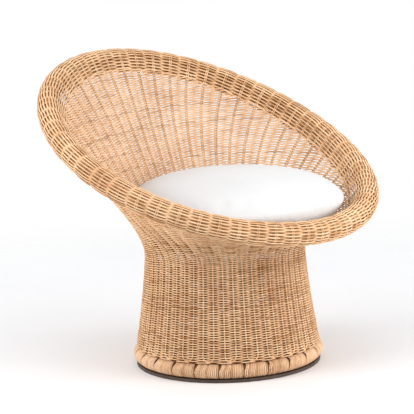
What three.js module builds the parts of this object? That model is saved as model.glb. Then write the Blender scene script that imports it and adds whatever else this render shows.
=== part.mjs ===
// A low woven rattan tub chair: a waisted round foot, a flaring bowl with a tilted round rim,
// a thick rolled-over edge, and a loose round cushion that lies in the bowl.
// Millimetres, +Z up. The front of the chair faces -Y. The origin lies on the floor, below the
// middle of the rim seen from above.
import * as THREE from 'three';

// Clearance between neighbouring pieces
const GAP = 0.3;

// Base: a flat dark ring on the floor, and a cane hoop above it wound with a flat bundle of peel
const BASE_RADIUS = 238;
const FOOT_HEIGHT = 8;
const FOOT_WIDTH = 24;
const BASE_HOOP_DIAMETER = 28;
const WRAP_THICKNESS = 4.4;
const WRAP_EDGE_THICKNESS = 2.6;
const WRAP_TURNS = 24;
const WRAP_TURN_GAP = 2.5;
const WRAP_SHIFT = 0.4;

// Wall: woven skin on the inside, cane stakes against its outside
const WALL_FOOT_INSET = 6.5;
const WAIST_RADIUS = 202;
const WAIST_HEIGHT = 280;
const WEAVE_THICKNESS = 5;
const STAKE_PAIRS = 26;
const STAKE_WIDTH = 9;
const STAKE_THICKNESS = 4.5;
const SKIRT_EASE = 1.4;
const BOWL_LIFT = 0.1;
const BOWL_REACH = 0.4;

// Rim: nearly round seen from above, high at the back, with a roll that turns outward
const RIM_HALF_WIDTH = 400;
const RIM_HALF_DEPTH = 383;
const RIM_HEIGHT = 542;
const RIM_RISE = 178;
const RIM_SIDE_DIP = 8;
const RIM_SET_BACK = 42;
const ROLL_RADIUS = 31;
const ROLL_LEAN = THREE.MathUtils.degToRad(65);
const ROLL_ARC = THREE.MathUtils.degToRad(288);
const RIM_HOOP_DIAMETER = 22;

// Seat: a hoop above the waist with bars and a woven panel, carried by posts from the base
const SEAT_HOOP_HEIGHT = 320;
const SEAT_HOOP_DIAMETER = 22;
const SEAT_BAR_DIAMETER = 16;
const SEAT_BAR_SPACING = 84;
const SEAT_BARS = 3;
const SEAT_PANEL_MARGIN = 4;
const SEAT_PANEL_THICKNESS = 6;
const POST_DIAMETER = 16;
const POST_CLEARANCE = 2.5;
const POSTS = 6;

// Cushion: two round cover panels sewn at the edge, over a fill that follows the bowl
const CUSHION_SEAM_HEIGHT = 62;
const CUSHION_CROWN = 84;
const CUSHION_EASE = 4;
const CUSHION_SET_FORWARD = 38;
const COVER_THICKNESS = 2.5;
const CROWN_FULLNESS = 0.65;

// Facets: every round piece has its corners on the same spokes as the stakes
const SPOKES = 2 * STAKE_PAIRS;
const SKIRT_STEPS = 3;
const BOWL_STEPS = 4;
const ROLL_STEPS = 9;
const CURL_STEPS = 3;
const LOOP_STEPS = 4;
const HOOP_SIDES = 6;
const ROD_SIDES = 8;
const WRAP_STEPS = 2 * HOOP_SIDES;
const CUSHION_STEPS = 5;
const CUSHION_SIDES = 36;

// Small step of an angle or a share, for directions along a curve and for a search
const FINE = 1e-4;

// Heights and places that follow from the sizes above
const BASE_CENTRE_Y = -RIM_SET_BACK;
const SPOKE_ANGLE = (2 * Math.PI) / SPOKES;
const STAKE_GAP = GAP + (STAKE_WIDTH / 2) * Math.tan(SPOKE_ANGLE / 2);
const WALL_THICKNESS = WEAVE_THICKNESS + STAKE_GAP + STAKE_THICKNESS;
const SPOKE_SAG = BASE_RADIUS * (1 - Math.cos(SPOKE_ANGLE / 2));
const WRAP_PITCH = (2 * Math.PI) / WRAP_TURNS;
const WRAP_SLOPE = Math.tan(Math.PI / WRAP_STEPS);
const WRAP_INNER = BASE_HOOP_DIAMETER / 2 + GAP + SPOKE_SAG;
const WRAP_OUTER = WRAP_INNER + WRAP_THICKNESS;
const BASE_HOOP_RADIUS = BASE_RADIUS - WRAP_OUTER;
const BASE_HOOP_HEIGHT = FOOT_HEIGHT + GAP + WRAP_OUTER;
const WRAP_TOP = BASE_HOOP_HEIGHT + WRAP_OUTER;
const WALL_FOOT_RADIUS = BASE_RADIUS - WALL_FOOT_INSET;
const WALL_FOOT_OFFSET = Math.max(WALL_FOOT_RADIUS - WALL_THICKNESS - BASE_HOOP_RADIUS, 0);
const WALL_FOOT_HEIGHT = WRAP_TOP - WALL_FOOT_OFFSET * WRAP_SLOPE + GAP;
const SKIRT_RISE = WAIST_HEIGHT - WALL_FOOT_HEIGHT;
const SEAT_HOOP_RADIUS = WAIST_RADIUS - WALL_THICKNESS - 2 * GAP - SEAT_HOOP_DIAMETER / 2;
const SEAT_TOP = SEAT_HOOP_HEIGHT + SEAT_HOOP_DIAMETER / 2 + GAP + SEAT_PANEL_THICKNESS;
const CUSHION_CENTRE_Y = BASE_CENTRE_Y - CUSHION_SET_FORWARD;
const CUSHION_BOTTOM = SEAT_TOP + GAP;
const CUSHION_SEAM = CUSHION_BOTTOM + CUSHION_SEAM_HEIGHT;

const UP = new THREE.Vector3(0, 0, 1);

// Materials
const finish = (color, roughness) => new THREE.MeshStandardMaterial({ color, roughness, metalness: 0 });
const caneSkin = finish(0xd9ad7c, 0.6);
const canePeel = finish(0xd8b088, 0.55);
const caneStick = finish(0xc89762, 0.6);
const darkWood = finish(0x4a352b, 0.5);
const coverCloth = finish(0xf4f4f4, 0.9);
const fill = finish(0xe9e6dd, 1.0);

const chair = new THREE.Group();

function addPiece(name, geometry, material) {
  const piece = new THREE.Mesh(geometry, material);
  piece.name = name;
  chair.add(piece);
}

// Solid lofted through sections, each a closed loop of the same number of points.
// A closed loft joins its last section to its first; an open one gets a cap at each end.
function loft(sections, closed) {
  const sides = sections[0].length;
  const count = sections.length;
  const positions = sections.flat().flatMap((point) => [point.x, point.y, point.z]);
  const index = [];
  const spans = closed ? count : count - 1;
  for (let i = 0; i < spans; i += 1) {
    const here = i * sides;
    const next = ((i + 1) % count) * sides;
    for (let j = 0; j < sides; j += 1) {
      const k = (j + 1) % sides;
      index.push(here + j, next + j, here + k);
      index.push(here + k, next + j, next + k);
    }
  }
  if (!closed) {
    const last = (count - 1) * sides;
    for (let j = 1; j < sides - 1; j += 1) {
      index.push(0, j, j + 1);
      index.push(last, last + j + 1, last + j);
    }
  }
  const geometry = new THREE.BufferGeometry();
  geometry.setAttribute('position', new THREE.Float32BufferAttribute(positions, 3));
  geometry.setIndex(signedVolume(positions, index) < 0 ? index.reverse() : index);
  geometry.computeVertexNormals();
  return geometry;
}

function signedVolume(positions, index) {
  const corner = (i) => new THREE.Vector3().fromArray(positions, 3 * index[i]);
  let volume = 0;
  for (let i = 0; i < index.length; i += 3) {
    volume += corner(i).dot(corner(i + 1).cross(corner(i + 2))) / 6;
  }
  return volume;
}

const spokes = Array.from({ length: SPOKES }, (_, i) => i * SPOKE_ANGLE);

function radial(angle) {
  return new THREE.Vector3(Math.cos(angle), Math.sin(angle), 0);
}

function tangent(angle) {
  return new THREE.Vector3(-Math.sin(angle), Math.cos(angle), 0);
}

// Point at a distance from the upright axis of the base
function onBase(angle, radius, height) {
  return new THREE.Vector3(0, BASE_CENTRE_Y, height).addScaledVector(radial(angle), radius);
}

function steps(from, to, count) {
  return Array.from({ length: count + 1 }, (_, i) => from + ((to - from) * i) / count);
}

// Round section with its first corner in the direction across
function roundSection(centre, across, along, diameter, sides) {
  return Array.from({ length: sides }, (_, j) => {
    const turn = (j * 2 * Math.PI) / sides;
    return centre.clone()
      .addScaledVector(across, (diameter / 2) * Math.cos(turn))
      .addScaledVector(along, (diameter / 2) * Math.sin(turn));
  });
}

// Level hoop about the axis of the base, with corners at its top and bottom
function levelHoop(radius, height, diameter) {
  const sections = spokes.map((angle) => {
    const centre = onBase(angle, radius, height);
    return roundSection(centre, UP, radial(angle), diameter, HOOP_SIDES);
  });
  return loft(sections, true);
}

// Rim: centre line of the roll, and the directions square to it
function rimCentre(angle) {
  const height = RIM_HEIGHT + RIM_RISE * Math.sin(angle) - RIM_SIDE_DIP * Math.cos(2 * angle);
  return new THREE.Vector3(RIM_HALF_WIDTH * Math.cos(angle), RIM_HALF_DEPTH * Math.sin(angle), height);
}

function rimFrame(angle) {
  const run = rimCentre(angle + FINE).sub(rimCentre(angle - FINE)).normalize();
  const outward = run.clone().cross(UP).normalize();
  const upward = outward.clone().cross(run);
  const climb = outward.clone().multiplyScalar(Math.cos(ROLL_LEAN));
  climb.addScaledVector(upward, Math.sin(ROLL_LEAN));
  const inside = upward.clone().multiplyScalar(Math.cos(ROLL_LEAN));
  inside.addScaledVector(outward, -Math.sin(ROLL_LEAN));
  return { centre: rimCentre(angle), run, climb, inside };
}

// Point of the roll: turn 0 is where the wall meets it, and the turn goes over the top and outward
function rollPoint(angle, turn, depth) {
  const { centre, climb, inside } = rimFrame(angle);
  const radius = ROLL_RADIUS - depth;
  return centre
    .addScaledVector(inside, radius * Math.cos(turn))
    .addScaledVector(climb, radius * Math.sin(turn));
}

// Inner face of the wall: share 0 to 1 runs up the skirt to the waist, 1 to 2 up the bowl to the roll
function wallFace(angle, share) {
  return share <= 1 ? skirtFace(angle, share) : bowlFace(angle, share - 1);
}

function skirtFace(angle, share) {
  const foot = WALL_FOOT_RADIUS - WALL_THICKNESS;
  const waist = WAIST_RADIUS - WALL_THICKNESS;
  const radius = waist + (foot - waist) * Math.max(1 - share, 0) ** SKIRT_EASE;
  return onBase(angle, radius, WALL_FOOT_HEIGHT + SKIRT_RISE * share);
}

function bowlFace(angle, share) {
  const waist = onBase(angle, WAIST_RADIUS - WALL_THICKNESS, WAIST_HEIGHT);
  const { climb } = rimFrame(angle);
  const end = rollPoint(angle, 0, 0);
  const span = waist.distanceTo(end);
  const lifted = waist.clone().addScaledVector(UP, BOWL_LIFT * span);
  const reached = end.clone().addScaledVector(climb, -BOWL_REACH * span);
  return new THREE.CubicBezierCurve3(waist, lifted, reached, end).getPoint(share);
}

// Unit normal of the wall, pointing away from the seat
function wallNormal(angle, share) {
  const around = wallFace(angle + FINE, share).sub(wallFace(angle - FINE, share));
  const up = wallFace(angle, share + FINE).sub(wallFace(angle, share - FINE));
  return around.cross(up).normalize();
}

function wallPoint(angle, share, depth) {
  return wallFace(angle, share).addScaledVector(wallNormal(angle, share), depth);
}

// Level distance from an upright axis to the nearest corner of the bowl's inner face at a height
function clearRadius(height, centreY) {
  const reaches = spokes.map((angle) => {
    let low = 1;
    let high = 2;
    while (high - low > FINE) {
      const middle = (low + high) / 2;
      if (wallFace(angle, middle).z < height) {
        low = middle;
      } else {
        high = middle;
      }
    }
    const point = wallFace(angle, low);
    return Math.hypot(point.x, point.y - centreY);
  });
  return Math.min(...reaches);
}

// Woven skin between two levels: its section runs up the inner face and down the outer one
function skin(levels, pointAt) {
  const sections = spokes.map((angle) => {
    const inner = levels.map((level) => pointAt(angle, level, 0));
    const outer = levels.map((level) => pointAt(angle, level, WEAVE_THICKNESS));
    return [...inner, ...outer.reverse()];
  });
  return loft(sections, true);
}

const edgeShare = GAP / SKIRT_RISE;
const skirtLevels = steps(0, 1 - edgeShare, SKIRT_STEPS);
const bowlLevels = steps(1, 2 - edgeShare, BOWL_STEPS);
const rollTurns = steps(GAP / ROLL_RADIUS, ROLL_ARC, ROLL_STEPS);

// Flat-section stick through frames that give its centre, its width direction and its thickness direction
function stick(frames) {
  const sections = frames.map(({ centre, widthways, outward }) => {
    const corner = (w, t) => centre.clone()
      .addScaledVector(widthways, (w * STAKE_WIDTH) / 2)
      .addScaledVector(outward, (t * STAKE_THICKNESS) / 2);
    return [corner(-1, 1), corner(-1, -1), corner(1, -1), corner(1, 1)];
  });
  return loft(sections, false);
}

const stakeDepth = WEAVE_THICKNESS + STAKE_GAP + STAKE_THICKNESS / 2;

// Direction along the wall, level and square to a rib
function sideways(angle, outward) {
  const along = tangent(angle);
  return along.addScaledVector(outward, -along.dot(outward)).normalize();
}

// One leg of a bent stake, from above its loop at the base to its curled end inside the roll
function stakeLeg(angle, loopShare) {
  const levels = [loopShare, ...skirtLevels.slice(1), ...bowlLevels.slice(1)];
  const frames = levels.map((level) => {
    const outward = wallNormal(angle, level);
    return { centre: wallPoint(angle, level, stakeDepth), widthways: sideways(angle, outward), outward };
  });
  for (const turn of rollTurns.slice(1, CURL_STEPS + 1)) {
    const centre = rollPoint(angle, turn, stakeDepth);
    const outward = rimCentre(angle).sub(centre).normalize();
    frames.push({ centre, widthways: rimFrame(angle).run, outward });
  }
  return frames;
}

// A stake bent double: down one leg, round the loop that stands on the wound base, up the next leg
function bentStake(index) {
  const middle = (2 * index + 0.5) * SPOKE_ANGLE;
  const loopRadius = WALL_FOOT_RADIUS * Math.sin(SPOKE_ANGLE / 2);
  const loopShare = (loopRadius + STAKE_WIDTH / 2) / SKIRT_RISE;
  const down = stakeLeg(middle - SPOKE_ANGLE / 2, loopShare).reverse();
  const up = stakeLeg(middle + SPOKE_ANGLE / 2, loopShare);
  for (const frame of down) {
    frame.widthways.negate();
  }
  const loop = [];
  for (let i = 1; i < LOOP_STEPS; i += 1) {
    const turn = (i * Math.PI) / LOOP_STEPS;
    const angle = middle - (SPOKE_ANGLE / 2) * Math.cos(turn);
    const level = loopShare - (loopRadius * Math.sin(turn)) / SKIRT_RISE;
    const outward = wallNormal(angle, level);
    const widthways = sideways(angle, outward).multiplyScalar(-Math.cos(turn));
    widthways.addScaledVector(UP, Math.sin(turn));
    widthways.addScaledVector(outward, -widthways.dot(outward)).normalize();
    loop.push({ centre: wallPoint(angle, level, stakeDepth), widthways, outward });
  }
  return stick([...down, ...loop, ...up]);
}

// Winding of the base: one unbroken flat bundle that runs straight down the outside of the hoop
// and steps on to the next turn behind it
function windingAngle(turns) {
  const nearest = Math.round(turns);
  const shift = THREE.MathUtils.smoothstep(turns - nearest, -WRAP_SHIFT / 2, WRAP_SHIFT / 2);
  return WRAP_PITCH * (nearest - 1 + shift);
}

function windingSection(turns) {
  const middle = windingAngle(turns);
  const halfWidth = (WRAP_PITCH - WRAP_TURN_GAP / (BASE_RADIUS - 2 * WRAP_OUTER)) / 2;
  const round = 2 * Math.PI * turns;
  const place = (side, radius) => onBase(
    middle + side * halfWidth,
    BASE_HOOP_RADIUS - radius * Math.cos(round),
    BASE_HOOP_HEIGHT + radius * Math.sin(round),
  );
  const edge = WRAP_INNER + WRAP_EDGE_THICKNESS;
  return [
    place(-1, WRAP_INNER),
    place(0, WRAP_INNER),
    place(1, WRAP_INNER),
    place(1, edge),
    place(0.5, WRAP_OUTER),
    place(-0.5, WRAP_OUTER),
    place(-1, edge),
  ];
}

// Least distance between points of the winding that lie more than half a turn apart along it
function leastGap(sections) {
  let least = Infinity;
  for (let i = 0; i < sections.length; i += 1) {
    for (let j = i + WRAP_STEPS / 2; j < sections.length; j += 1) {
      for (const here of sections[i]) {
        for (const there of sections[j]) {
          least = Math.min(least, here.distanceTo(there));
        }
      }
    }
  }
  return least;
}

function baseWinding() {
  const last = WRAP_TURNS * WRAP_STEPS - 1;
  const sections = steps(0, last / WRAP_STEPS, last).map(windingSection);
  console.log(`least gap of the base winding to itself: ${leastGap(sections).toFixed(2)} mm`);
  return loft(sections, false);
}

// Solid of revolution about a vertical axis; the profile is given as [radius, height] pairs
function turned(profile, centreY, sides) {
  const points = profile.map(([radius, height]) => new THREE.Vector2(radius, height));
  const geometry = new THREE.LatheGeometry(points, sides);
  geometry.rotateX(Math.PI / 2);
  geometry.translate(0, centreY, 0);
  return geometry;
}

function footRing() {
  const middle = BASE_HOOP_RADIUS;
  const inner = middle - FOOT_WIDTH / 2;
  const outer = middle + FOOT_WIDTH / 2;
  const profile = [[inner, 0], [outer, 0], [outer, FOOT_HEIGHT], [inner, FOOT_HEIGHT], [inner, 0]];
  return turned(profile, BASE_CENTRE_Y, SPOKES);
}

// Posts stand on turns of the wound base, follow the wall and end level under the seat hoop
function post(index) {
  const even = ((index + 0.5) * 2 * Math.PI) / POSTS;
  const angle = Math.round(even / WRAP_PITCH) * WRAP_PITCH;
  const footHeight = WRAP_TOP + GAP;
  const headHeight = SEAT_HOOP_HEIGHT - SEAT_HOOP_DIAMETER / 2 - GAP;
  const rings = steps(footHeight, headHeight, SKIRT_STEPS).map((height) => {
    const centre = skirtFace(angle, (height - WALL_FOOT_HEIGHT) / SKIRT_RISE);
    centre.addScaledVector(radial(angle), -POST_CLEARANCE - POST_DIAMETER / 2);
    return roundSection(centre, radial(angle), tangent(angle), POST_DIAMETER, ROD_SIDES);
  });
  return loft(rings, false);
}

// Bars butt against the flat inside of the seat hoop, flush with its top
function seatBar(index) {
  const offset = (index - (SEAT_BARS - 1) / 2) * SEAT_BAR_SPACING;
  const hoopFlat = (SEAT_HOOP_DIAMETER / 2) * Math.cos(Math.PI / HOOP_SIDES);
  const clear = (SEAT_HOOP_RADIUS - hoopFlat) * Math.cos(SPOKE_ANGLE / 2) - GAP;
  const radius = SEAT_BAR_DIAMETER / 2;
  const edge = Math.abs(offset) + radius;
  const length = 2 * Math.sqrt(clear * clear - edge * edge);
  const geometry = new THREE.CylinderGeometry(radius, radius, length, ROD_SIDES);
  geometry.rotateZ(Math.PI / 2);
  geometry.translate(0, BASE_CENTRE_Y + offset, SEAT_HOOP_HEIGHT + SEAT_HOOP_DIAMETER / 2 - radius);
  return geometry;
}

function seatPanel() {
  const bottom = SEAT_TOP - SEAT_PANEL_THICKNESS;
  const radius = clearRadius(bottom, BASE_CENTRE_Y) - SEAT_PANEL_MARGIN;
  const profile = [[0, bottom], [radius, bottom], [radius, SEAT_TOP], [0, SEAT_TOP]];
  return turned(profile, BASE_CENTRE_Y, SPOKES);
}

// Rim hoop, lying in the crook of the curled stakes inside the roll
function rimHoop() {
  const turnStep = rollTurns[1] - rollTurns[0];
  const contact = (rollTurns[1] + rollTurns[2]) / 2;
  const crook = (ROLL_RADIUS - WALL_THICKNESS) * Math.cos(turnStep / 2);
  const offset = crook - 2 * GAP - RIM_HOOP_DIAMETER / 2;
  const sections = spokes.map((angle) => {
    const { centre, run, climb, inside } = rimFrame(angle);
    const across = inside.multiplyScalar(Math.cos(contact)).addScaledVector(climb, Math.sin(contact));
    centre.addScaledVector(across, offset);
    return roundSection(centre, across, run.cross(across), RIM_HOOP_DIAMETER, HOOP_SIDES);
  });
  return loft(sections, true);
}

// Cushion faces as [radius, height] pairs. The crown swells up from the seam; the underside lies
// flat on the seat and rises to the seam along the bowl.
const seamRadius = clearRadius(CUSHION_SEAM, CUSHION_CENTRE_Y) - CUSHION_EASE;

function crownFace(inset) {
  return steps(0, Math.PI / 2, CUSHION_STEPS).map((turn) => {
    const swell = Math.cos(turn) ** CROWN_FULLNESS;
    const height = CUSHION_SEAM + GAP / 2 + (CUSHION_CROWN - inset) * swell;
    return [(seamRadius - inset) * Math.sin(turn), height];
  });
}

function undersideFace(inset) {
  const levels = steps(CUSHION_BOTTOM, CUSHION_SEAM - GAP / 2, CUSHION_STEPS);
  const side = levels.map((level) => [
    clearRadius(level, CUSHION_CENTRE_Y) - CUSHION_EASE - inset,
    Math.max(level, CUSHION_BOTTOM + inset),
  ]);
  return [[0, CUSHION_BOTTOM + inset], ...side];
}

// Solid between two cushion faces
function padding(lowerFace, upperFace) {
  return turned([...lowerFace, ...upperFace.reverse()], CUSHION_CENTRE_Y, CUSHION_SIDES);
}

// Main assembly
addPiece('foot_ring', footRing(), darkWood);
addPiece('base_hoop', levelHoop(BASE_HOOP_RADIUS, BASE_HOOP_HEIGHT, BASE_HOOP_DIAMETER), caneStick);
addPiece('base_wrap', baseWinding(), canePeel);
for (let i = 0; i < STAKE_PAIRS; i += 1) {
  addPiece(`stake_${String(i + 1).padStart(2, '0')}`, bentStake(i), caneStick);
}
addPiece('skirt_weave', skin(skirtLevels, wallPoint), caneSkin);
addPiece('bowl_weave', skin(bowlLevels, wallPoint), caneSkin);
addPiece('rim_roll', skin(rollTurns, rollPoint), caneSkin);
addPiece('rim_hoop', rimHoop(), caneStick);
addPiece('seat_hoop', levelHoop(SEAT_HOOP_RADIUS, SEAT_HOOP_HEIGHT, SEAT_HOOP_DIAMETER), caneStick);
for (let i = 0; i < SEAT_BARS; i += 1) {
  addPiece(`seat_bar_${i + 1}`, seatBar(i), caneStick);
}
addPiece('seat_panel', seatPanel(), caneSkin);
for (let i = 0; i < POSTS; i += 1) {
  addPiece(`post_${i + 1}`, post(i), caneStick);
}
const fillInset = COVER_THICKNESS + GAP;
addPiece('cushion_core', padding(undersideFace(fillInset), crownFace(fillInset)), fill);
addPiece('cushion_top_panel', padding(crownFace(COVER_THICKNESS), crownFace(0)), coverCloth);
addPiece('cushion_bottom_panel', padding(undersideFace(0), undersideFace(COVER_THICKNESS)), coverCloth);

export default chair;
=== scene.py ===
"""A low woven rattan tub chair: reeds interlaced round bent stakes, a wound base and a loose cushion."""
import math

import bpy
import numpy as np
from mathutils import Matrix, Vector


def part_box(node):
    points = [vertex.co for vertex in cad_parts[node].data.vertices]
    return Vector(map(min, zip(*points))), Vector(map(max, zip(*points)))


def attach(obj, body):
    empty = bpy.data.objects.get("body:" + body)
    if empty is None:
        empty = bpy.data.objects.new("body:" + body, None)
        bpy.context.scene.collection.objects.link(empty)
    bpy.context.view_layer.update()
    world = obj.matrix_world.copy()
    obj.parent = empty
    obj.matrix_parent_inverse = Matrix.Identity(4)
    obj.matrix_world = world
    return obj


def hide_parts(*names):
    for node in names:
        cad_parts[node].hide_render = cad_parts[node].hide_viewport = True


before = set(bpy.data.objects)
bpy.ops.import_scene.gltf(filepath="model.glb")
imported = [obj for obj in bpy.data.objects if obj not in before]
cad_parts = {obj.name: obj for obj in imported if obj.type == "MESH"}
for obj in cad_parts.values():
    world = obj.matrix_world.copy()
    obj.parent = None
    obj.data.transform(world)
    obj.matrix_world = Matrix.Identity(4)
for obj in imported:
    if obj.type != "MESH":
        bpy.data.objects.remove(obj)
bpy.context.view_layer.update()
chance = np.random.default_rng(seed=7)

# Sizes of the chair, as its solids have them
MM = 0.001
RIBS = 52
RIB_ANGLE = 2 * math.pi / RIBS
WALL_THICKNESS = 10.07 * MM
WALL_FOOT_RADIUS = 231.5 * MM
WAIST_RADIUS = 202 * MM
WAIST_HEIGHT = 280 * MM
SKIRT_EASE = 1.4
BOWL_LIFT = 0.1
BOWL_REACH = 0.4
RIM_HALF_WIDTH = 400 * MM
RIM_HALF_DEPTH = 383 * MM
RIM_HEIGHT = 542 * MM
RIM_RISE = 178 * MM
RIM_SIDE_DIP = 8 * MM
RIM_SET_BACK = 42 * MM
ROLL_RADIUS = 31 * MM
ROLL_LEAN = math.radians(65)
ROLL_ARC = math.radians(288)
BASE_RADIUS = 238 * MM
WRAP_TURNS = 24
WRAP_SHIFT = 0.4

# The wall rises more steeply from the waist here than in the solids: its curve sets out upright this far
BOWL_LEAST_LIFT = 70 * MM

# Level rows of the wall: how they bend round the ribs, wander, and change in the open back above the
# cushion, which sets in between two heights and, at the sides, between two sines of the angle
ROW_PITCH = 2.92 * MM
ROW_WIDTH = 2.6 * MM
ROW_THICKNESS = 2.5 * MM
ROW_UNEVENNESS = 0.07
ROW_WAVE = 3.2 * MM
ROW_STEEPNESS = 1.5
ROW_TILT = 0.75 * MM
ROW_TUCK = 6 * MM
WANDER = 0.125 * MM
WANDER_WAVES = 9, 23, 41
# Painted shade: below the cushion line the rows are darkened on the inner side of the wall, and lie wider
# there
HIDDEN_SPREAD = 0.65
DEEPEST_PAINTED_SHADE = 0.05
CUSHION_LINE = 350 * MM
OPEN_ROW_WIDTH = 2.75 * MM
OPEN_ROW_STEEPNESS = 1.7
OPENING_HEIGHTS = 345 * MM, 375 * MM
OPENING_SINES = -0.3, 0.2

# Rows along the rim
RIM_BAND = 40 * MM
RIM_PITCH = 4.2 * MM
RIM_WIDTH = RIM_PITCH
RIM_UNEVENNESS = 0.08
RIM_WAVE = 2.6 * MM
RIM_STEEPNESS = 2.4
# How strongly the rim rows are darkened as painted shade on their hidden side
RIM_PAINTED_SHADE = 0.65

# Sticks of the stakes
STICK_DIAMETER = 3.8 * MM
STICK_SPREAD = 2.2 * MM
SPREAD_LEVELS = 1, 1.15
SECOND_STICK_LEVEL = 1.07

# Winding of the base, with the phases of a turn between which it is drawn together
WRAP_STRANDS = 13
WRAP_STRAND_THICKNESS = 4.0 * MM
WRAP_STRAND_FILL = 0.9
WRAP_UNEVENNESS = 0.5 * MM
WRAP_TURN_GAP = 1.8 * MM
WRAP_PINCH = 0.1
PINCH_START = 0.04, 0.2
PINCH_END = 0.37, 0.49

# Plait of the seat
SEAT_PITCH = 9 * MM
SEAT_STRIP_WIDTH = 8.2 * MM
SEAT_STRIP_THICKNESS = 2 * MM
SEAT_WAVE = 1.4 * MM

# Shades of the reeds that are pieced together to a strand
REED_LENGTH = 0.7
REED_LENGTH_SHARES = 0.4, 1.4
MOST_JOINTS = 60
USUAL_TONE = 0.72
TONE_SPREAD = 0.09
ODD_TONE = 0.4
ODD_REEDS = 0.06
STAIN_SHIFT = 10

# Steps and facets
SEGMENTS = 8
TUBE_SIDES = 5
END_TAPER = 0.05
SKIRT_STEPS = 12
BOWL_STEPS = 24
ROLL_STEPS = 24
LOOP_STEPS = 10
WRAP_STEPS = 24
WRAP_SIDES = 6
SEAT_STEPS = 8
LEAST_STEPS = 4
RIM_SAMPLES = 400
HALVINGS = 24
FINE = 1e-4
MAP_MARGIN = 0.05
MOST_QUADS = 95000

UP = np.array([0.0, 0.0, 1.0])
ring = np.arange(RIBS * SEGMENTS) * RIB_ANGLE / SEGMENTS
base_low, base_high = (np.array(corner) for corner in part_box("base_wrap"))
wall_foot_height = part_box("skirt_weave")[0].z
skirt_rise = WAIST_HEIGHT - wall_foot_height
wrap_outer = (base_high[2] - base_low[2]) / 2
wrap_height = (base_high[2] + base_low[2]) / 2
base_hoop_radius = BASE_RADIUS - wrap_outer


def unit(vectors):
    """The same directions with length 1."""
    return vectors / np.linalg.norm(vectors, axis=-1, keepdims=True)


def smooth(value, start, end):
    """Smooth step from 0 at the start to 1 at the end."""
    share = np.clip((value - start) / (end - start), 0, 1)
    return share * share * (3 - 2 * share)


def path_lengths(path):
    """Length from the start of a path to each of its points."""
    steps = np.linalg.norm(np.diff(path, axis=0), axis=1)
    return np.concatenate([[0], np.cumsum(steps)])


def add_object(name, data):
    """An object with this data, linked into the scene."""
    thing = bpy.data.objects.new(name, data)
    bpy.context.scene.collection.objects.link(thing)
    return thing


# Wall of the chair: its inner face by angle and level. Levels up to 1 run up the skirt, 1 to 2 up the
# bowl, and from 2 on round the roll, in radians.
WAIST_LEVEL = 1
ROLL_LEVEL = 2


def on_base(angle, radius, height):
    """Point at an angle and radius round the axis of the base."""
    parts = radius * np.cos(angle), radius * np.sin(angle) - RIM_SET_BACK, height
    return np.stack(np.broadcast_arrays(*parts), -1)


def rim_centre(angle):
    """Point of the rim's middle line straight out from the axis of the base at an angle."""
    wide, deep = RIM_HALF_WIDTH * np.sin(angle), RIM_HALF_DEPTH * np.cos(angle)
    turn = np.arccos(RIM_SET_BACK * np.cos(angle) / np.hypot(wide, deep)) - np.arctan2(deep, wide)
    height = RIM_HEIGHT + RIM_RISE * np.sin(turn) - RIM_SIDE_DIP * np.cos(2 * turn)
    return np.stack([RIM_HALF_WIDTH * np.cos(turn), RIM_HALF_DEPTH * np.sin(turn), height], -1)


def rim_frame(angle):
    """Middle of the rim, the direction in which the wall climbs there, and the one to its inside."""
    run = unit(rim_centre(angle + FINE) - rim_centre(angle - FINE))
    outward = unit(np.cross(run, UP))
    upward = np.cross(outward, run)
    climb = outward * math.cos(ROLL_LEAN) + upward * math.sin(ROLL_LEAN)
    inside = upward * math.cos(ROLL_LEAN) - outward * math.sin(ROLL_LEAN)
    return rim_centre(angle), climb, inside


def skirt_face(angle, share):
    """Face of the skirt at a share of its height."""
    foot, waist = WALL_FOOT_RADIUS - WALL_THICKNESS, WAIST_RADIUS - WALL_THICKNESS
    radius = waist + (foot - waist) * np.maximum(1 - share, 0) ** SKIRT_EASE
    return on_base(angle, radius, wall_foot_height + skirt_rise * share)


def bowl_corners(angle):
    """Corners of the curve by which the wall rises from the waist to the roll."""
    waist = on_base(angle, WAIST_RADIUS - WALL_THICKNESS, WAIST_HEIGHT)
    centre, climb, inside = rim_frame(angle)
    end = centre + ROLL_RADIUS * inside
    span = np.linalg.norm(end - waist, axis=-1, keepdims=True)
    lift = np.maximum(BOWL_LIFT * span, BOWL_LEAST_LIFT)
    return waist, waist + lift * UP, end - BOWL_REACH * span * climb, end


def bowl_face(angle, share):
    """Face of the bowl at a share of its curve."""
    first, second, third, last = bowl_corners(angle)
    t = np.broadcast_to(share, angle.shape)[..., None]
    s = 1 - t
    return s ** 3 * first + 3 * s * s * t * second + 3 * s * t * t * third + t ** 3 * last


def roll_face(angle, turn):
    """Face of the roll, which carries on the inner face of the bowl, after a turn round its middle."""
    centre, climb, inside = rim_frame(angle)
    turn = np.broadcast_to(turn, angle.shape)[..., None]
    return centre + ROLL_RADIUS * (inside * np.cos(turn) + climb * np.sin(turn))


def wall_face(angle, level):
    """Face of the wall at any angle and level."""
    level = np.broadcast_to(level, angle.shape)
    face = np.empty(angle.shape + (3,))
    bounds = -math.inf, WAIST_LEVEL, ROLL_LEVEL, math.inf
    for part, low, high in zip((skirt_face, bowl_face, roll_face), bounds, bounds[1:]):
        here = (level > low) & (level <= high)
        face[here] = part(angle[here], level[here] - max(low, 0))
    return face


def wall_rise(angle, level):
    """Direction up along the wall."""
    return unit(wall_face(angle, level + FINE) - wall_face(angle, level - FINE))


def wall_run(angle, level):
    """Direction round the wall."""
    return unit(wall_face(angle + FINE, level) - wall_face(angle - FINE, level))


def wall_normal(angle, level):
    """Direction through the wall, from its inner face out."""
    return unit(np.cross(wall_run(angle, level), wall_rise(angle, level)))


def band_level(angle, distance):
    """Level at a distance along the wall from where it meets the roll."""
    corners = bowl_corners(angle)
    speed = 3 * np.linalg.norm(corners[3] - corners[2], axis=-1)
    return ROLL_LEVEL + (distance / speed if distance < 0 else distance / ROLL_RADIUS)


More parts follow.
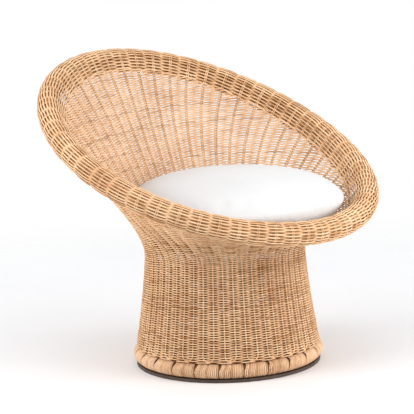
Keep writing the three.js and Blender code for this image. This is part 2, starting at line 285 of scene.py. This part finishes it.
def bowl_level(angle, height):
    """Level at a height of the bowl."""
    low, high = np.zeros_like(angle), np.ones_like(angle)
    for _ in range(HALVINGS):
        middle = (low + high) / 2
        below = bowl_face(angle, middle)[:, 2] < height
        low = np.where(below, middle, low)
        high = np.where(below, high, middle)
    return WAIST_LEVEL + low


# Strands: tubes swept along paths and gathered into pieces
def strand(path, normal, width, thickness, closed=False, sides=TUBE_SIDES, shade=1.0):
    """One tube: its grid of points, its length and painted shade at each step, and whether it is closed."""
    if closed:
        run = np.roll(path, -1, 0) - np.roll(path, 1, 0)
    else:
        run = np.gradient(path, axis=0)
    across = unit(np.cross(unit(run), normal))
    outward = np.cross(across, unit(run))
    turn = 2 * math.pi * np.arange(sides) / sides
    taper = np.ones((len(path), 1, 1))
    if not closed:
        taper[[0, -1]] = END_TAPER
    widths = np.broadcast_to(width, len(path))[:, None, None]
    rings = across[:, None] * widths / 2 * np.cos(turn)[:, None]
    rings = rings + outward[:, None] * (thickness / 2 * np.sin(turn))[:, None]
    length = path_lengths(path)
    return path[:, None] + taper * rings, length, np.broadcast_to(shade, length.shape), closed


def reed_tones(length):
    """Tone along a strand that is pieced together from reeds of different shades."""
    reeds = chance.uniform(*REED_LENGTH_SHARES, MOST_JOINTS) * REED_LENGTH
    joints = np.cumsum(reeds) - REED_LENGTH * chance.random()
    tones = chance.normal(USUAL_TONE, TONE_SPREAD, MOST_JOINTS + 1)
    tones[chance.random(MOST_JOINTS + 1) < ODD_REEDS] = ODD_TONE
    return np.clip(tones, 0, 1)[np.searchsorted(joints, length)]


def set_values(layer, field, values, kind=np.float32):
    """Sets one field of every element of a mesh layer."""
    layer.foreach_set(field, np.ascontiguousarray(values, kind).ravel())


def quad_mesh(name, points, corners, maps, fields):
    """A smooth mesh of four-cornered faces, with a bake map and the values kept at its points."""
    mesh = bpy.data.meshes.new(name)
    mesh.vertices.add(len(points))
    mesh.loops.add(corners.size)
    mesh.polygons.add(len(corners))
    set_values(mesh.vertices, "co", points)
    set_values(mesh.loops, "vertex_index", corners, np.int32)
    set_values(mesh.polygons, "loop_start", np.arange(0, corners.size, 4), np.int32)
    set_values(mesh.uv_layers.new(name="OFBake").uv, "vector", maps)
    for field, values in fields.items():
        set_values(mesh.attributes.new(field, "FLOAT", "POINT").data, "value", values)
    mesh.update(calc_edges=True)
    mesh.validate()
    mesh.shade_smooth()
    return mesh


def strand_piece(name, strands, material):
    """One piece of many tubes, with a bake map strip for each, their reed tones with painted shade and
    lengths kept.
    """
    points, corners, maps, tones, lengths = [], [], [], [], []
    start = 0
    for number, (grid, length, shade, closed) in enumerate(strands):
        count, sides = grid.shape[:2]
        spans = count if closed else count - 1
        i, j = np.meshgrid(np.arange(spans), np.arange(sides), indexing="ij")
        i2, j2 = (i + 1) % count, (j + 1) % sides
        quad = np.stack([i * sides + j, i2 * sides + j, i2 * sides + j2, i * sides + j2], -1)
        corners.append(start + quad.reshape(-1, 4))
        u = np.stack([i, i + 1, i + 1, i], -1) / spans
        across = MAP_MARGIN + (1 - 2 * MAP_MARGIN) * np.stack([j, j, j + 1, j + 1], -1) / sides
        v = (number + across) / len(strands)
        maps.append(np.stack([u, v], -1).reshape(-1, 2))
        points.append(grid.reshape(-1, 3))
        # The value kept at each point is the reed's tone times the strand's painted shade
        tones.append(np.repeat(shade * reed_tones(length), sides))
        lengths.append(np.repeat(length + STAIN_SHIFT * chance.random(), sides))
        start += count * sides
    points, corners, maps = np.concatenate(points), np.concatenate(corners), np.concatenate(maps)
    fields = {"tone_and_painted_shade": np.concatenate(tones), "along": np.concatenate(lengths)}
    mesh = quad_mesh(name, points, corners, maps, fields)
    mesh.materials.append(material)
    piece = add_object(name, mesh)
    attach(piece, "chair")
    return piece


def strand_pieces(name, strands, material, nodes):
    """As many pieces as keep each one to a fair number of faces. The first stands for the nodes."""
    sums = np.cumsum([grid.shape[0] * grid.shape[1] for grid, *_ in strands])
    count = math.ceil(sums[-1] / MOST_QUADS)
    cuts = [0, *np.searchsorted(sums, sums[-1] * np.arange(1, count) / count), len(strands)]
    for number, (first, end) in enumerate(zip(cuts, cuts[1:])):
        piece = strand_piece(f"{name}_{number + 1}", strands[first:end], material)
        if number == 0:
            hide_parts(*nodes)


# Woven rows
def woven_row(angle, level, width, wave, steepness, painted_shade_side, closed):
    """A row that passes the ribs in turn on the inside and the outside of the wall.

    The painted shade side says how strongly one side is painted darker, as shade behind the ribs:
    plus for the outside, minus for the inside. On that side the reed is painted darker and lies wider.
    """
    normal = wall_normal(angle, level)
    swing = np.tanh(steepness * np.cos(math.pi * angle / RIB_ANGLE)) / math.tanh(steepness)
    path = wall_face(angle, level) + normal * (WALL_THICKNESS / 2 + wave * swing)[:, None]
    drift = WANDER * sum(np.sin(k * angle + chance.uniform(0, 2 * math.pi)) for k in WANDER_WAVES)
    tilt = -painted_shade_side * ROW_TILT * np.sign(wave) * swing
    run = np.gradient(path, axis=0)
    path = path + unit(np.cross(normal, run)) * (drift + tilt)[:, None]
    # Painted shade: the reed's colour is darkened on its shaded side, most midway between the ribs
    hidden = np.clip(np.sign(painted_shade_side * wave) * swing, 0, 1)
    shade = 1 - (1 - DEEPEST_PAINTED_SHADE) * abs(painted_shade_side) * hidden
    return strand(path, normal, width * (1 + HIDDEN_SPREAD * hidden), ROW_THICKNESS, closed, shade=shade)


def bowl_reed(angle, level):
    """Width of the reed in the bowl: fuller where the wall leans and in the back above the cushion."""
    height = wall_face(angle, level)[:, 2]
    opened = smooth(height, *OPENING_HEIGHTS) * smooth(np.sin(angle), *OPENING_SINES)
    return (ROW_WIDTH + (OPEN_ROW_WIDTH - ROW_WIDTH) * opened) / wall_rise(angle, level)[:, 2]


def level_rows():
    """Level rows from the base up. Above the front of the rim a row runs only round the back."""
    half = np.linspace(-math.pi / 2, math.pi / 2, RIM_SAMPLES)
    ends = wall_face(half, band_level(half, ROW_TUCK - RIM_BAND))[:, 2]
    skirt_rows, bowl_rows = [], []
    for number in range(int((ends.max() - wall_foot_height) / ROW_PITCH)):
        height = wall_foot_height + (number + 0.5) * ROW_PITCH
        hidden = height < CUSHION_LINE
        unevenness = chance.uniform(1 - ROW_UNEVENNESS, 1 + ROW_UNEVENNESS)
        steepness = ROW_STEEPNESS if hidden else OPEN_ROW_STEEPNESS
        # Rows below the cushion line carry painted shade on the inner side of the wall
        bend = ROW_WAVE * (-1) ** number, steepness, -1 if hidden else 0
        if height < WAIST_HEIGHT:
            level = np.full_like(ring, (height - wall_foot_height) / skirt_rise)
            skirt_rows.append(woven_row(ring, level, unevenness * ROW_WIDTH, *bend, True))
        elif height < ends.min():
            level = bowl_level(ring, height)
            bowl_rows.append(woven_row(ring, level, unevenness * bowl_reed(ring, level), *bend, True))
        else:
            first = np.interp(height, ends, half)
            count = max(LEAST_STEPS, round((math.pi - 2 * first) / (RIB_ANGLE / SEGMENTS)))
            arc = np.linspace(first, math.pi - first, count)
            level = bowl_level(arc, height)
            bowl_rows.append(woven_row(arc, level, unevenness * bowl_reed(arc, level), *bend, False))
    return skirt_rows, bowl_rows


def rim_rows():
    """Rows along the rim, from the band below the roll to the end of the roll."""
    rows = []
    for number in range(int((RIM_BAND + ROLL_ARC * ROLL_RADIUS) / RIM_PITCH)):
        distance = (number + 0.5) * RIM_PITCH - RIM_BAND
        width = RIM_WIDTH * chance.uniform(1 - RIM_UNEVENNESS, 1 + RIM_UNEVENNESS)
        # Rim rows carry painted shade on their hidden side
        bend = RIM_WAVE * (-1) ** number, RIM_STEEPNESS, RIM_PAINTED_SHADE
        rows.append(woven_row(ring, band_level(ring, distance), width, *bend, True))
    return rows


def stick(angle, level, side):
    """A stick in the middle of the wall, moved to one side of its rib from the waist up."""
    normal = wall_normal(angle, level)
    path = wall_face(angle, level) + normal * WALL_THICKNESS / 2
    spread = side * STICK_SPREAD * smooth(level, *SPREAD_LEVELS)
    path = path + wall_run(angle, level) * spread[:, None]
    return strand(path, normal, STICK_DIAMETER, STICK_DIAMETER)


def bent_stakes():
    """Stakes, each a stick bent double that stands as two neighbouring ribs, with a loop at the base.

    From the waist up a second stick lies beside each rib.
    """
    bend = WALL_FOOT_RADIUS * math.sin(RIB_ANGLE / 2) / skirt_rise
    loop_level = bend + STICK_DIAMETER / skirt_rise
    bowl_levels = np.linspace(SECOND_STICK_LEVEL, ROLL_LEVEL, BOWL_STEPS, endpoint=False)
    upper = np.concatenate([bowl_levels, ROLL_LEVEL + np.linspace(0, ROLL_ARC, ROLL_STEPS)])
    leg = np.concatenate([np.linspace(loop_level, WAIST_LEVEL, SKIRT_STEPS), upper])
    half_turn = np.linspace(0, math.pi, LOOP_STEPS + 1)[1:-1]
    level = np.concatenate([leg[::-1], loop_level - bend * np.sin(half_turn), leg])
    swing = np.concatenate([np.ones(len(leg)), np.cos(half_turn), -np.ones(len(leg))])
    sticks = []
    for number in range(RIBS // 2):
        middle = (2 * number + 0.5) * RIB_ANGLE
        sticks.append(stick(middle + swing * RIB_ANGLE / 2, level, swing))
        for side in (-1, 1):
            rib = np.full_like(upper, middle + side * RIB_ANGLE / 2)
            sticks.append(stick(rib, upper, -side))
    return sticks


def base_winding():
    """Strands laid side by side and wound round the base hoop, drawn together at the top of each turn."""
    turns = np.arange(WRAP_TURNS * WRAP_STEPS) / WRAP_STEPS
    phase = turns % 1
    pitch = 2 * math.pi / WRAP_TURNS
    nearest = np.round(turns)
    middle = pitch * (nearest - 1 + smooth(turns - nearest, -WRAP_SHIFT / 2, WRAP_SHIFT / 2))
    half = (pitch - WRAP_TURN_GAP / BASE_RADIUS) / 2
    pinch = WRAP_PINCH * smooth(phase, *PINCH_START) * (1 - smooth(phase, *PINCH_END))
    radius = wrap_outer - WRAP_STRAND_THICKNESS / 2
    width = WRAP_STRAND_FILL * 2 * half * BASE_RADIUS / WRAP_STRANDS
    round_angle = 2 * math.pi * turns
    strands = []
    for number in range(WRAP_STRANDS):
        side = (2 * number + 1) / WRAP_STRANDS - 1
        angle = middle + half * (side * (1 - pinch) + pinch)
        depth = radius - WRAP_UNEVENNESS * chance.random()
        path = on_base(angle, base_hoop_radius - depth * np.cos(round_angle),
                       wrap_height + depth * np.sin(round_angle))
        normal = unit(path - on_base(angle, base_hoop_radius, wrap_height))
        strands.append(strand(path, normal, width, WRAP_STRAND_THICKNESS, sides=WRAP_SIDES))
    return strands


def seat_weave():
    """Flat strips plaited both ways across the round seat."""
    low, high = (np.array(corner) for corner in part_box("seat_panel"))
    radius = (high[0] - low[0]) / 2 - SEAT_STRIP_THICKNESS
    centre = (low + high) / 2
    strips = []
    count = int(radius / SEAT_PITCH)
    for along in (0, 1):
        for number in range(-count, count + 1):
            place = number * SEAT_PITCH
            reach = math.sqrt(radius ** 2 - place ** 2)
            steps = np.linspace(-reach, reach, max(LEAST_STEPS, round(SEAT_STEPS * reach / SEAT_PITCH)))
            lift = SEAT_WAVE * np.cos(math.pi * steps / SEAT_PITCH)
            path = np.empty((len(steps), 3))
            path[:, along] = centre[along] + steps
            path[:, 1 - along] = centre[1 - along] + place
            path[:, 2] = centre[2] + lift * (-1) ** (number + along)
            upright = np.broadcast_to(UP, path.shape)
            strips.append(strand(path, upright, SEAT_STRIP_WIDTH, SEAT_STRIP_THICKNESS))
    return strips


# Materials
# Colour of the deepest painted shade in the gaps of the weave; no reed's own tone reaches it
PAINTED_SHADE_CANE = (0.13, 0.038, 0.006)
WHITE = (1, 1, 1)


def grey(value):
    """Grey of one value in all three colours."""
    return value, value, value


class Nodes:
    """Node tree of a material or a world, with short ways to add nodes and links."""

    def __init__(self, owner, shader="Principled BSDF"):
        owner.use_nodes = True
        self.owner = owner
        self.tree = owner.node_tree
        self.shader = self.tree.nodes[shader]
        self.place = self.add("ShaderNodeTexCoord")

    def add(self, kind, **settings):
        """A new node with its inputs and options set."""
        node = self.tree.nodes.new(kind)
        for name, value in settings.items():
            if name in node.inputs:
                node.inputs[name].default_value = value
            else:
                setattr(node, name, value)
        return node

    def link(self, source, target):
        self.tree.links.new(source, target)

    def feed(self, name, source):
        """Links a source to an input of the shader."""
        self.link(source, self.shader.inputs[name])

    def noise(self, **settings):
        """Noise by the place on the object."""
        node = self.add("ShaderNodeTexNoise", **settings)
        self.link(self.place.outputs["Object"], node.inputs["Vector"])
        return node.outputs["Fac"]

    def ramp(self, source, *stops):
        """Colours between two or more stops, each a value and its colour."""
        node = self.add("ShaderNodeValToRGB")
        elements = node.color_ramp.elements
        for value, _ in stops[len(elements):]:
            elements.new(value)
        for element, (value, colour) in zip(elements, stops):
            element.position = value
            element.color = (*colour, 1)
        self.link(source, node.inputs["Fac"])
        return node.outputs["Color"]

    def multiply(self, first, second):
        """Product of two colours."""
        node = self.add("ShaderNodeMix", data_type="RGBA", blend_type="MULTIPLY")
        node.inputs["Factor"].default_value = 1.0
        self.link(first, node.inputs["A"])
        self.link(second, node.inputs["B"])
        return node.outputs["Result"]

    def bump(self, height, strength, distance):
        """Fine relief on the surface."""
        node = self.add("ShaderNodeBump", Strength=strength, Distance=distance)
        self.link(height, node.inputs["Height"])
        self.feed("Normal", node.outputs["Normal"])


def reed_material(name, dark, middle, light):
    """Natural cane: a shade for each reed, stains along it, patches over the chair and fine fibres."""
    nodes = Nodes(bpy.data.materials.new(name))
    tone_and_painted_shade = nodes.add("ShaderNodeAttribute", attribute_name="tone_and_painted_shade")
    # The attribute read here carries the reed tones and the painted shade of the rows; the deepest stop is
    # painted shade only
    shade = nodes.ramp(tone_and_painted_shade.outputs["Fac"], (0.05, PAINTED_SHADE_CANE), (0.35, dark), (0.6, middle), (1.0, light))
    along = nodes.add("ShaderNodeAttribute", attribute_name="along")
    stain = nodes.add("ShaderNodeTexNoise", noise_dimensions="1D", Scale=14.0, Detail=4.0, Roughness=0.7)
    nodes.link(along.outputs["Fac"], stain.inputs["W"])
    stain_stops = (0.3, (0.72, 0.62, 0.52)), (0.5, WHITE), (0.75, (1, 0.97, 0.92))
    stains = nodes.ramp(stain.outputs["Fac"], *stain_stops)
    patches = nodes.ramp(nodes.noise(Scale=11.0, Detail=3.0), (0.32, (0.88, 0.8, 0.74)), (0.6, WHITE))
    nodes.feed("Base Color", nodes.multiply(nodes.multiply(shade, stains), patches))
    fibre = nodes.noise(Scale=900.0, Detail=2.0)
    nodes.feed("Roughness", nodes.ramp(fibre, (0.3, grey(0.45)), (0.7, grey(0.62))))
    nodes.shader.inputs["Specular IOR Level"].default_value = 0.12
    nodes.bump(fibre, strength=0.25, distance=0.4 * MM)
    return nodes.owner


def wood_material(name, dark, light, scale):
    """Bare or stained stick with uneven grain."""
    nodes = Nodes(bpy.data.materials.new(name))
    grain = nodes.noise(Scale=scale, Detail=6.0, Roughness=0.65, Distortion=0.6)
    nodes.feed("Base Color", nodes.ramp(grain, (0.3, dark), (0.7, light)))
    nodes.feed("Roughness", nodes.ramp(grain, (0.3, grey(0.4)), (0.7, grey(0.6))))
    nodes.bump(grain, strength=0.2, distance=0.8 * MM)
    return nodes.owner


def cloth_material(name):
    """White cotton with a fine plain weave and a little fuzz."""
    nodes = Nodes(bpy.data.materials.new(name))
    threads = []
    for direction in ("X", "Y"):
        wave = nodes.add("ShaderNodeTexWave", bands_direction=direction, Scale=330.0, Distortion=1.2)
        wave.inputs["Detail Scale"].default_value = 40.0
        nodes.link(nodes.place.outputs["Object"], wave.inputs["Vector"])
        threads.append(wave.outputs["Color"])
    weave = nodes.multiply(*threads)
    thread_shade = nodes.ramp(weave, (0.0, grey(0.96)), (0.6, WHITE))
    cloud = nodes.noise(Scale=9.0, Detail=5.0)
    clouds = nodes.ramp(cloud, (0.3, (0.72, 0.72, 0.725)), (0.7, (0.76, 0.76, 0.765)))
    nodes.feed("Base Color", nodes.multiply(clouds, thread_shade))
    nodes.shader.inputs["Roughness"].default_value = 0.9
    nodes.shader.inputs["Sheen Weight"].default_value = 0.15
    nodes.bump(weave, strength=0.12, distance=0.4 * MM)
    return nodes.owner


weave_reed = reed_material(
    "weave_reed", dark=(0.6, 0.34, 0.16), middle=(0.88, 0.58, 0.34), light=(0.97, 0.72, 0.47)
)
peel_reed = reed_material(
    "peel_reed", dark=(0.56, 0.34, 0.19), middle=(0.74, 0.49, 0.3), light=(0.84, 0.61, 0.42)
)
stick_reed = reed_material(
    "stick_reed", dark=(0.56, 0.32, 0.15), middle=(0.84, 0.56, 0.33), light=(0.92, 0.67, 0.43)
)
# The cane solids are painted darker than the reeds, as painted shade where they show through the winding
# and the roll
cane_stick = wood_material("cane_stick", dark=(0.3, 0.17, 0.08), light=(0.5, 0.31, 0.17), scale=40.0)
dark_wood = wood_material("dark_wood", dark=(0.03, 0.016, 0.009), light=(0.075, 0.045, 0.028), scale=60.0)
cotton = cloth_material("cotton")

# Woven pieces
skirt_rows, bowl_rows = level_rows()
strand_pieces("skirt_rows", skirt_rows, weave_reed, ["skirt_weave"])
strand_pieces("bowl_rows", bowl_rows, weave_reed, ["bowl_weave"])
strand_pieces("rim_rows", rim_rows(), weave_reed, ["rim_roll"])
stake_nodes = [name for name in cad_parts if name.startswith("stake_")]
strand_pieces("bent_stakes", bent_stakes(), stick_reed, stake_nodes)
strand_pieces("base_winding", base_winding(), peel_reed, ["base_wrap"])
strand_pieces("seat_plait", seat_weave(), weave_reed, ["seat_panel"])

# Cushion: swelled as cloth under pressure from a closed form, then smoothed and laid in the bowl
CUSHION_NODES = "cushion_core", "cushion_top_panel", "cushion_bottom_panel"
CUSHION_SIDES = 96
CUSHION_RINGS = 40
CUSHION_EASINGS = 3
CUSHION_SHRINK = 3 * MM
CUSHION_CLEARANCE = 4 * MM
CUSHION_MERGE = 0.1 * MM
CUSHION_VOXEL = 6 * MM
CUSHION_PRESSURE = 4.0
CUSHION_CLOTH_QUALITY = 4
CUSHION_FRAMES = 20
CUSHION_MOST_SWELL = 5 * MM
CUSHION_SMOOTHINGS = 6
SMOOTHING_SHARE = 0.5
HEIGHT_DIGITS = 5
LEAST_MOVE = 1e-9

# Fuller edge of the cushion: its height above the seam, how far it reaches out and how wide it is
EDGE_LIFT = 16 * MM
EDGE_REACH = 24 * MM
EDGE_WIDTH = 24 * MM


def cushion_profile():
    """Section of the cushion's fill from the middle of its underside to its crown, as radius and height."""
    points = np.array([vertex.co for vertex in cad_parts["cushion_core"].data.vertices])
    centre = (points.min(0) + points.max(0)) / 2
    radius = np.hypot(points[:, 0] - centre[0], points[:, 1] - centre[1])
    pairs = {}
    for reach, height in zip(radius, points[:, 2]):
        key = round(height, HEIGHT_DIGITS)
        pairs[key] = max(pairs.get(key, 0), reach)
    outline = [(0.0, min(pairs))] + [(pairs[height], height) for height in sorted(pairs)]
    return centre, np.array(outline)


def cushion_section():
    """Even steps along the profile, eased, drawn in a little and filled out at the edge."""
    centre, outline = cushion_profile()
    lengths = path_lengths(outline)
    places = np.linspace(0, lengths[-1], CUSHION_RINGS)
    section = np.stack([np.interp(places, lengths, values) for values in outline.T], -1)
    for _ in range(CUSHION_EASINGS):
        section[1:-1] = (section[:-2] + 2 * section[1:-1] + section[2:]) / 4
    radius, height = section.T
    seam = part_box("cushion_bottom_panel")[1].z
    edge = np.exp(-((height - seam - EDGE_LIFT) / EDGE_WIDTH) ** 2)
    radius = np.maximum(radius - CUSHION_SHRINK + EDGE_REACH * edge, 0)
    radius[[0, -1]] = 0
    return centre, radius, height


def within_bowl(points):
    """Draws the points in to where the wall of the bowl leaves them room."""
    across, along = points[:, 0], points[:, 1] + RIM_SET_BACK
    angle = np.arctan2(along, across)
    wall = wall_face(angle, bowl_level(angle, points[:, 2]))
    room = np.hypot(wall[:, 0], wall[:, 1] + RIM_SET_BACK) - CUSHION_CLEARANCE
    share = np.minimum(1, room / np.maximum(np.hypot(across, along), FINE))
    return np.stack([across * share, along * share - RIM_SET_BACK, points[:, 2]], -1)


def apply_modifier(piece, kind, **settings):
    """Changes the mesh of a piece by a modifier with these settings."""
    modifier = piece.modifiers.new(kind.lower(), kind)
    for name, value in settings.items():
        setattr(modifier, name, value)
    bpy.ops.object.modifier_apply(modifier=modifier.name)


def cushion_form():
    """Closed form of the cushion before it is swelled, with faces of even size."""
    centre, radius, height = cushion_section()
    turn = 2 * math.pi * np.arange(CUSHION_SIDES) / CUSHION_SIDES
    grid = np.stack(np.broadcast_arrays(
        centre[0] + radius[:, None] * np.cos(turn),
        centre[1] + radius[:, None] * np.sin(turn),
        height[:, None],
    ), -1).reshape(-1, 3)
    faces = []
    for i in range(CUSHION_RINGS - 1):
        for j in range(CUSHION_SIDES):
            k = (j + 1) % CUSHION_SIDES
            here, there = i * CUSHION_SIDES, (i + 1) * CUSHION_SIDES
            faces.append((here + j, here + k, there + k, there + j))
    mesh = bpy.data.meshes.new("seat_cushion")
    mesh.from_pydata(within_bowl(grid).tolist(), [], faces)
    piece = add_object("seat_cushion", mesh)
    bpy.context.view_layer.objects.active = piece
    apply_modifier(piece, "WELD", merge_threshold=CUSHION_MERGE)
    apply_modifier(piece, "REMESH", mode="VOXEL", voxel_size=CUSHION_VOXEL)
    return piece


def positions(mesh):
    """Places of the points of a mesh."""
    values = np.empty(len(mesh.vertices) * 3, np.float32)
    mesh.vertices.foreach_get("co", values)
    return values.reshape(-1, 3).astype(float)


def swell(piece):
    """Blows the piece up as cloth, and keeps each point within its longest way."""
    before = positions(piece.data)
    cloth = piece.modifiers.new("cloth", "CLOTH")
    cloth.settings.use_pressure = True
    cloth.settings.uniform_pressure_force = CUSHION_PRESSURE
    cloth.settings.effector_weights.gravity = 0
    cloth.settings.quality = CUSHION_CLOTH_QUALITY
    cloth.point_cache.frame_end = CUSHION_FRAMES
    for number in range(1, CUSHION_FRAMES + 1):
        bpy.context.scene.frame_set(number)
    bpy.ops.object.modifier_apply(modifier=cloth.name)
    bpy.context.scene.frame_set(1)
    move = positions(piece.data) - before
    length = np.maximum(np.linalg.norm(move, axis=1, keepdims=True), LEAST_MOVE)
    after = before + move * np.minimum(1, CUSHION_MOST_SWELL / length)
    set_values(piece.data.vertices, "co", after)


def settle(piece):
    """Lets the piece lie on the seat, within the bowl."""
    points = within_bowl(positions(piece.data))
    points[:, 2] = np.maximum(points[:, 2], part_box("seat_panel")[1].z)
    set_values(piece.data.vertices, "co", points)


cushion = cushion_form()
swell(cushion)
apply_modifier(cushion, "SMOOTH", factor=SMOOTHING_SHARE, iterations=CUSHION_SMOOTHINGS)
apply_modifier(cushion, "SUBSURF", levels=1, render_levels=1)
settle(cushion)
cushion.data.shade_smooth()
cushion.data.materials.append(cotton)
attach(cushion, "cushion")
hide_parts(*CUSHION_NODES)

# Solids that keep their shape
# The foot ring is dark wood; the other solids take the cane painted dark as shade
for name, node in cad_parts.items():
    if not node.hide_render:
        node.data.materials.clear()
        node.data.materials.append(dark_wood if name == "foot_ring" else cane_stick)

# Studio: a pale floor, a soft surround and two large lamps
FLOOR_HALF_SIZE = 2.5
FLOOR_CORNERS = (-1, -1), (1, -1), (1, 1), (-1, 1)
FLOOR_FADE = 0.7, 2.0
HORIZON_LIGHT = 0.4
ZENITH_LIGHT = 1.0
BACKDROP_LIGHT = 1.0
LAMP_SIZE = 2.2
LAMP_AIM = Vector((0, 0, 0.35))


def floor_material(name):
    """Pale, faintly mottled paint that fades out with the distance from the chair."""
    nodes = Nodes(bpy.data.materials.new(name))
    mottle = nodes.noise(Scale=3.0, Detail=4.0)
    nodes.feed("Base Color", nodes.ramp(mottle, (0.3, (0.85, 0.86, 0.88)), (0.7, (0.87, 0.88, 0.9))))
    nodes.shader.inputs["Roughness"].default_value = 0.9
    away = nodes.add("ShaderNodeVectorMath", operation="LENGTH")
    nodes.link(nodes.place.outputs["Object"], away.inputs["Vector"])
    fade = nodes.add("ShaderNodeMapRange", interpolation_type="SMOOTHSTEP")
    fade.inputs["From Min"].default_value, fade.inputs["From Max"].default_value = FLOOR_FADE
    nodes.link(away.outputs["Value"], fade.inputs["Value"])
    clear = nodes.add("ShaderNodeBsdfTransparent")
    edge = nodes.add("ShaderNodeMixShader")
    nodes.link(fade.outputs["Result"], edge.inputs["Fac"])
    nodes.link(nodes.shader.outputs["BSDF"], edge.inputs[1])
    nodes.link(clear.outputs["BSDF"], edge.inputs[2])
    nodes.link(edge.outputs["Shader"], nodes.tree.nodes["Material Output"].inputs["Surface"])
    return nodes.owner


def light_surround():
    """Lights the chair from all round, most from above, before a plain white backdrop."""
    world = bpy.data.worlds.new("studio")
    bpy.context.scene.world = world
    nodes = Nodes(world, "Background")
    nodes.shader.inputs["Color"].default_value = (*WHITE, 1)
    split = nodes.add("ShaderNodeSeparateXYZ")
    nodes.link(nodes.place.outputs["Generated"], split.inputs["Vector"])
    dome = nodes.add("ShaderNodeMapRange")
    dome.inputs["To Min"].default_value = HORIZON_LIGHT
    dome.inputs["To Max"].default_value = ZENITH_LIGHT
    nodes.link(split.outputs["Z"], dome.inputs["Value"])
    rays = nodes.add("ShaderNodeLightPath")
    seen = rays.outputs["Is Camera Ray"]
    for kind in ("Is Glossy Ray", "Is Transmission Ray"):
        either = nodes.add("ShaderNodeMath", operation="MAXIMUM")
        nodes.link(seen, either.inputs[0])
        nodes.link(rays.outputs[kind], either.inputs[1])
        seen = either.outputs["Value"]
    backdrop = nodes.add("ShaderNodeMapRange")
    backdrop.inputs["To Max"].default_value = BACKDROP_LIGHT
    nodes.link(seen, backdrop.inputs["Value"])
    nodes.link(dome.outputs["Result"], backdrop.inputs["To Min"])
    nodes.feed("Strength", backdrop.outputs["Result"])


def add_lamp(name, place, power):
    """A large round lamp turned to the chair."""
    lamp = bpy.data.lights.new(name, "AREA")
    lamp.shape = "DISK"
    lamp.size = LAMP_SIZE
    lamp.energy = power
    holder = add_object(name, lamp)
    holder.location = place
    holder.rotation_euler = (LAMP_AIM - Vector(place)).to_track_quat("-Z", "Y").to_euler()


floor_mesh = bpy.data.meshes.new("floor")
floor_points = [(x * FLOOR_HALF_SIZE, y * FLOOR_HALF_SIZE, 0) for x, y in FLOOR_CORNERS]
floor_mesh.from_pydata(floor_points, [], [(0, 1, 2, 3)])
floor_mesh.materials.append(floor_material("floor_paint"))
floor = add_object("floor", floor_mesh)
light_surround()
add_lamp("left", place=(-2.6, 1.0, 1.6), power=60)
add_lamp("right", place=(0.9, -2.7, 1.2), power=66)

# Camera: aimed a little beside the chair and turned slightly, as the photograph was taken
IMAGE_SIDE = 414
FOCAL_PIXELS = 2292.8
SENSOR_WIDTH = 36.0
CAMERA_YAW = math.radians(46.3)
CAMERA_ELEVATION = math.radians(11.37)
CAMERA_DISTANCE = 5.712
CAMERA_TARGET = Vector((0, -RIM_SET_BACK, 0.345))
CAMERA_PAN = 16.34 / FOCAL_PIXELS
CAMERA_TILT = -18.37 / FOCAL_PIXELS
CAMERA_ROLL = math.radians(2.0)


def turned(first, second, angle):
    """Two directions at right angles, turned in their plane, the first towards the second."""
    return (
        first * math.cos(angle) + second * math.sin(angle),
        second * math.cos(angle) - first * math.sin(angle),
    )


right, ahead = turned(Vector((1, 0, 0)), Vector((0, 1, 0)), -CAMERA_YAW)
forward, upright = turned(ahead, Vector(UP), -CAMERA_ELEVATION)
place = CAMERA_TARGET - forward * CAMERA_DISTANCE
right, forward = turned(right, forward, CAMERA_PAN)
upright, forward = turned(upright, forward, CAMERA_TILT)
right, upright = turned(right, upright, -CAMERA_ROLL)
camera_data = bpy.data.cameras.new("camera")
camera_data.sensor_width = SENSOR_WIDTH
camera_data.lens = SENSOR_WIDTH * FOCAL_PIXELS / IMAGE_SIDE
camera = add_object("camera", camera_data)
camera.matrix_world = Matrix.Translation(place) @ Matrix((right, upright, -forward)).transposed().to_4x4()
bpy.context.scene.camera = camera
bpy.context.scene.view_settings.view_transform = "Standard"
